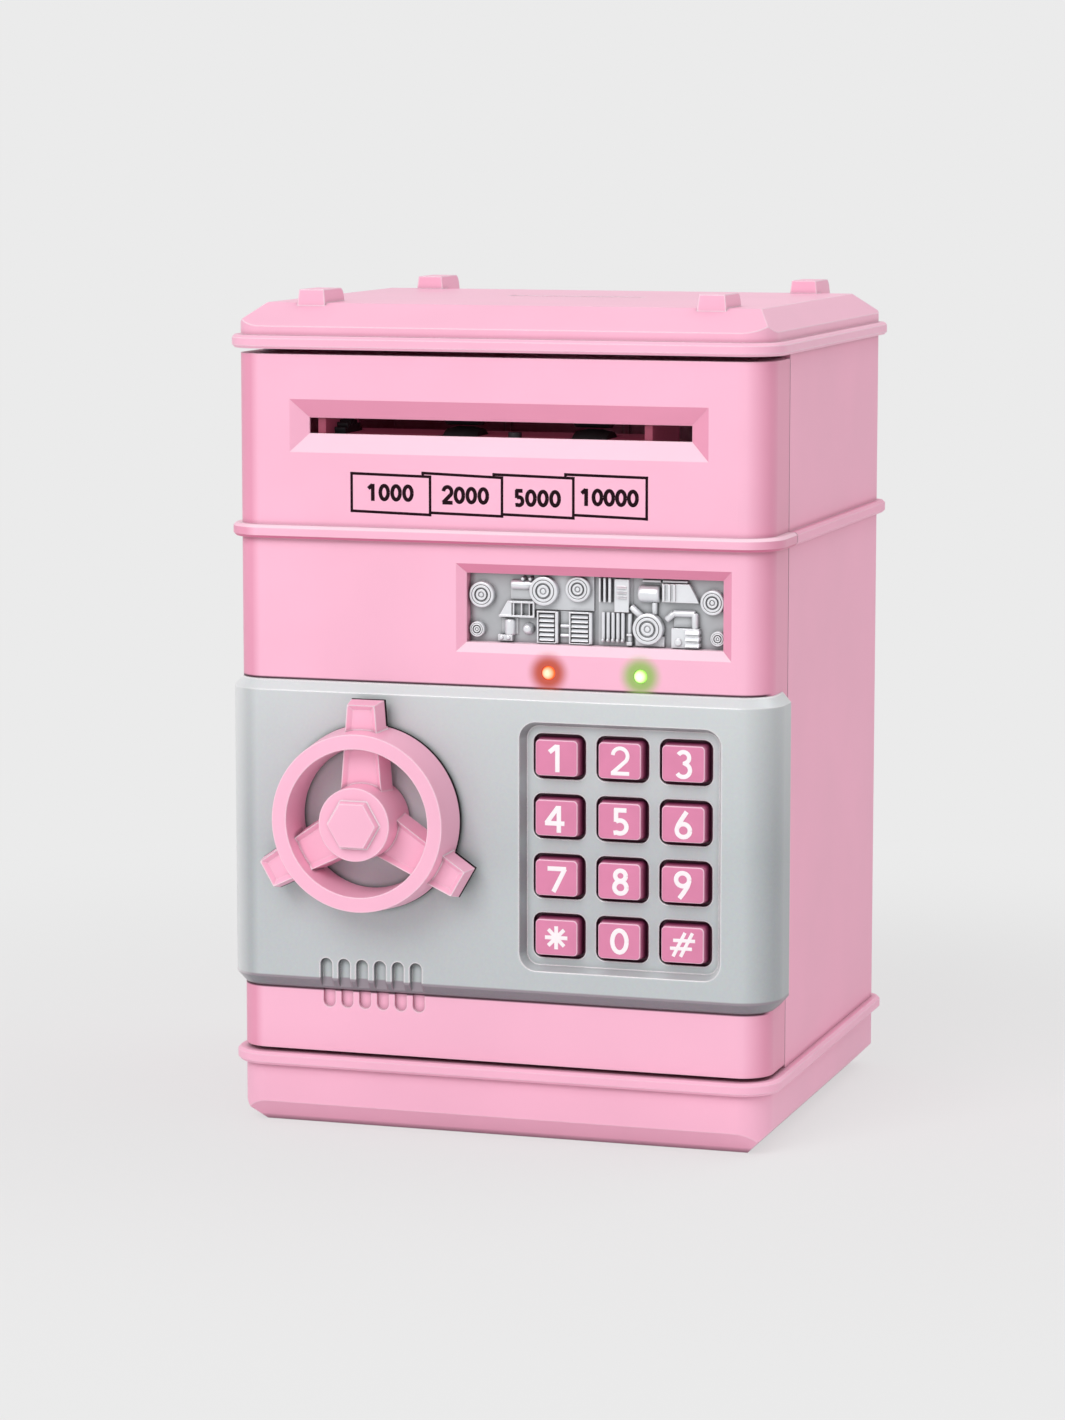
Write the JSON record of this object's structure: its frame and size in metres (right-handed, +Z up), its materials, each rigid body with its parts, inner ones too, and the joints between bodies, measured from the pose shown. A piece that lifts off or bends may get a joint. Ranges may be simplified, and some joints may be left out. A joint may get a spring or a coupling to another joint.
{
  "type": "automatic coin bank",
  "caption": "Moulded toy safe for coins and notes with a hinged front, handwheel bolt, keypad, note feed slot, relief window, lamps and a coin slot in the lid.",
  "frame": {"origin": "centre of the base's underside", "axes": "+X to the right seen from the front, +Y to the rear, +Z up"},
  "size_m": [0.128, 0.1236, 0.1892],
  "materials": {
    "pink_abs": "moulded, half gloss, pale pink",
    "silver_paint": "satin silver-grey paint on the moulding",
    "key_pink": "moulded in a deeper pink, satin",
    "relief_silver": "silver painted relief",
    "white_styrene": "moulded, plain",
    "red_lens": "clear tinted lens",
    "green_lens": "clear tinted lens",
    "circuit_board": "green solder mask",
    "grey_rubber": "silicone, matt",
    "black_rubber": "ground rubber, matt",
    "black_plastic": "moulded, fine grain",
    "cell_sleeve": "shrunk sleeve",
    "plated_steel": "zinc plated",
    "spring_steel": "oiled spring steel",
    "screw_steel": "zinc plated, crossed recess",
    "motor_steel": "drawn can",
    "copper_winding": "enamelled copper wire",
    "brass": "turned"
  },
  "bodies": {
    "case": {"base_tray": "pink_abs", "floor_plate": "pink_abs", "battery_cover": "pink_abs", "battery_cells": "cell_sleeve", "battery_contacts": "plated_steel", "base_screws": "screw_steel", "case_shell": "pink_abs", "strike_plate": "plated_steel", "lid": "pink_abs", "lid_screws": "screw_steel", "hinge_pins": "plated_steel"},
    "door": {"door_shell": "pink_abs", "door_back": "white_styrene", "door_screws": "screw_steel", "control_panel": "silver_paint", "relief_plate": "relief_silver", "red_led": "red_lens", "green_led": "green_lens", "led_board": "circuit_board", "key_mat": "grey_rubber", "keypad_board": "circuit_board", "main_board": "circuit_board", "speaker": "black_plastic", "latch_guides": "black_plastic", "solenoid_frame": "plated_steel", "solenoid_coil": "copper_winding", "feed_frame": "pink_abs", "feed_bushes": "brass", "feed_motor": "motor_steel", "note_sensor": "black_plastic"},
    "handwheel": {"knob": "pink_abs", "knob_shaft": "plated_steel", "shaft_clip": "spring_steel", "crank": "plated_steel"},
    "bolt": {"latch_bar": "plated_steel"},
    "plunger": {"lock_pin": "plated_steel"},
    "feed_rollers": {"drive_shaft": "plated_steel", "drive_rollers": "black_rubber", "drive_gear": "black_plastic"},
    "pinion": {"motor_pinion": "brass"},
    "idler": {"idler_shaft": "plated_steel", "idler_rollers": "black_plastic"},
    "key_1": {"key_1": "key_pink"},
    "key_2": {"key_2": "key_pink"},
    "key_3": {"key_3": "key_pink"},
    "key_4": {"key_4": "key_pink"},
    "key_5": {"key_5": "key_pink"},
    "key_6": {"key_6": "key_pink"},
    "key_7": {"key_7": "key_pink"},
    "key_8": {"key_8": "key_pink"},
    "key_9": {"key_9": "key_pink"},
    "key_star": {"key_star": "key_pink"},
    "key_0": {"key_0": "key_pink"},
    "key_hash": {"key_hash": "key_pink"}
  },
  "joints": [
    {"name": "door_hinge", "type": "hinge", "parent": "case", "child": "door", "pos_m": [-0.0594, -0.0353, 0.0965], "axis": [0, 0, -1], "range_deg": [0, 100]},
    {"name": "knob_turn", "type": "hinge", "parent": "door", "child": "handwheel", "pos_m": [-0.0283, -0.0565, 0.0725], "axis": [0, 1, 0], "range_deg": [0, 60]},
    {"name": "bolt_slide", "type": "slide", "parent": "door", "child": "bolt", "axis": [1, 0, 0], "range_m": [0, 0.008]},
    {"name": "lock_slide", "type": "slide", "parent": "door", "child": "plunger", "axis": [0, 0, 1], "range_m": [0, 0.0035]},
    {"name": "drive_spin", "type": "hinge", "parent": "door", "child": "feed_rollers", "pos_m": [0, -0.0405, 0.152], "axis": [1, 0, 0], "continuous": true},
    {"name": "pinion_spin", "type": "hinge", "parent": "door", "child": "pinion", "pos_m": [-0.0384, -0.034, 0.14337], "axis": [1, 0, 0], "continuous": true},
    {"name": "idler_spin", "type": "hinge", "parent": "door", "child": "idler", "pos_m": [0, -0.0405, 0.1635], "axis": [1, 0, 0], "continuous": true},
    {"name": "press_1", "type": "slide", "parent": "door", "child": "key_1", "axis": [0, 1, 0], "range_m": [0, 0.001], "stiffness_N_per_m": 800},
    {"name": "press_2", "type": "slide", "parent": "door", "child": "key_2", "axis": [0, 1, 0], "range_m": [0, 0.001], "stiffness_N_per_m": 800},
    {"name": "press_3", "type": "slide", "parent": "door", "child": "key_3", "axis": [0, 1, 0], "range_m": [0, 0.001], "stiffness_N_per_m": 800},
    {"name": "press_4", "type": "slide", "parent": "door", "child": "key_4", "axis": [0, 1, 0], "range_m": [0, 0.001], "stiffness_N_per_m": 800},
    {"name": "press_5", "type": "slide", "parent": "door", "child": "key_5", "axis": [0, 1, 0], "range_m": [0, 0.001], "stiffness_N_per_m": 800},
    {"name": "press_6", "type": "slide", "parent": "door", "child": "key_6", "axis": [0, 1, 0], "range_m": [0, 0.001], "stiffness_N_per_m": 800},
    {"name": "press_7", "type": "slide", "parent": "door", "child": "key_7", "axis": [0, 1, 0], "range_m": [0, 0.001], "stiffness_N_per_m": 800},
    {"name": "press_8", "type": "slide", "parent": "door", "child": "key_8", "axis": [0, 1, 0], "range_m": [0, 0.001], "stiffness_N_per_m": 800},
    {"name": "press_9", "type": "slide", "parent": "door", "child": "key_9", "axis": [0, 1, 0], "range_m": [0, 0.001], "stiffness_N_per_m": 800},
    {"name": "press_star", "type": "slide", "parent": "door", "child": "key_star", "axis": [0, 1, 0], "range_m": [0, 0.001], "stiffness_N_per_m": 800},
    {"name": "press_0", "type": "slide", "parent": "door", "child": "key_0", "axis": [0, 1, 0], "range_m": [0, 0.001], "stiffness_N_per_m": 800},
    {"name": "press_hash", "type": "slide", "parent": "door", "child": "key_hash", "axis": [0, 1, 0], "range_m": [0, 0.001], "stiffness_N_per_m": 800}
  ],
  "couplings": [
    {"joint": "bolt_slide", "follows": "knob_turn", "m_per_rad": 0.007639},
    {"joint": "pinion_spin", "follows": "drive_spin", "ratio": -2.6},
    {"joint": "idler_spin", "follows": "drive_spin", "ratio": -1.8}
  ]
}
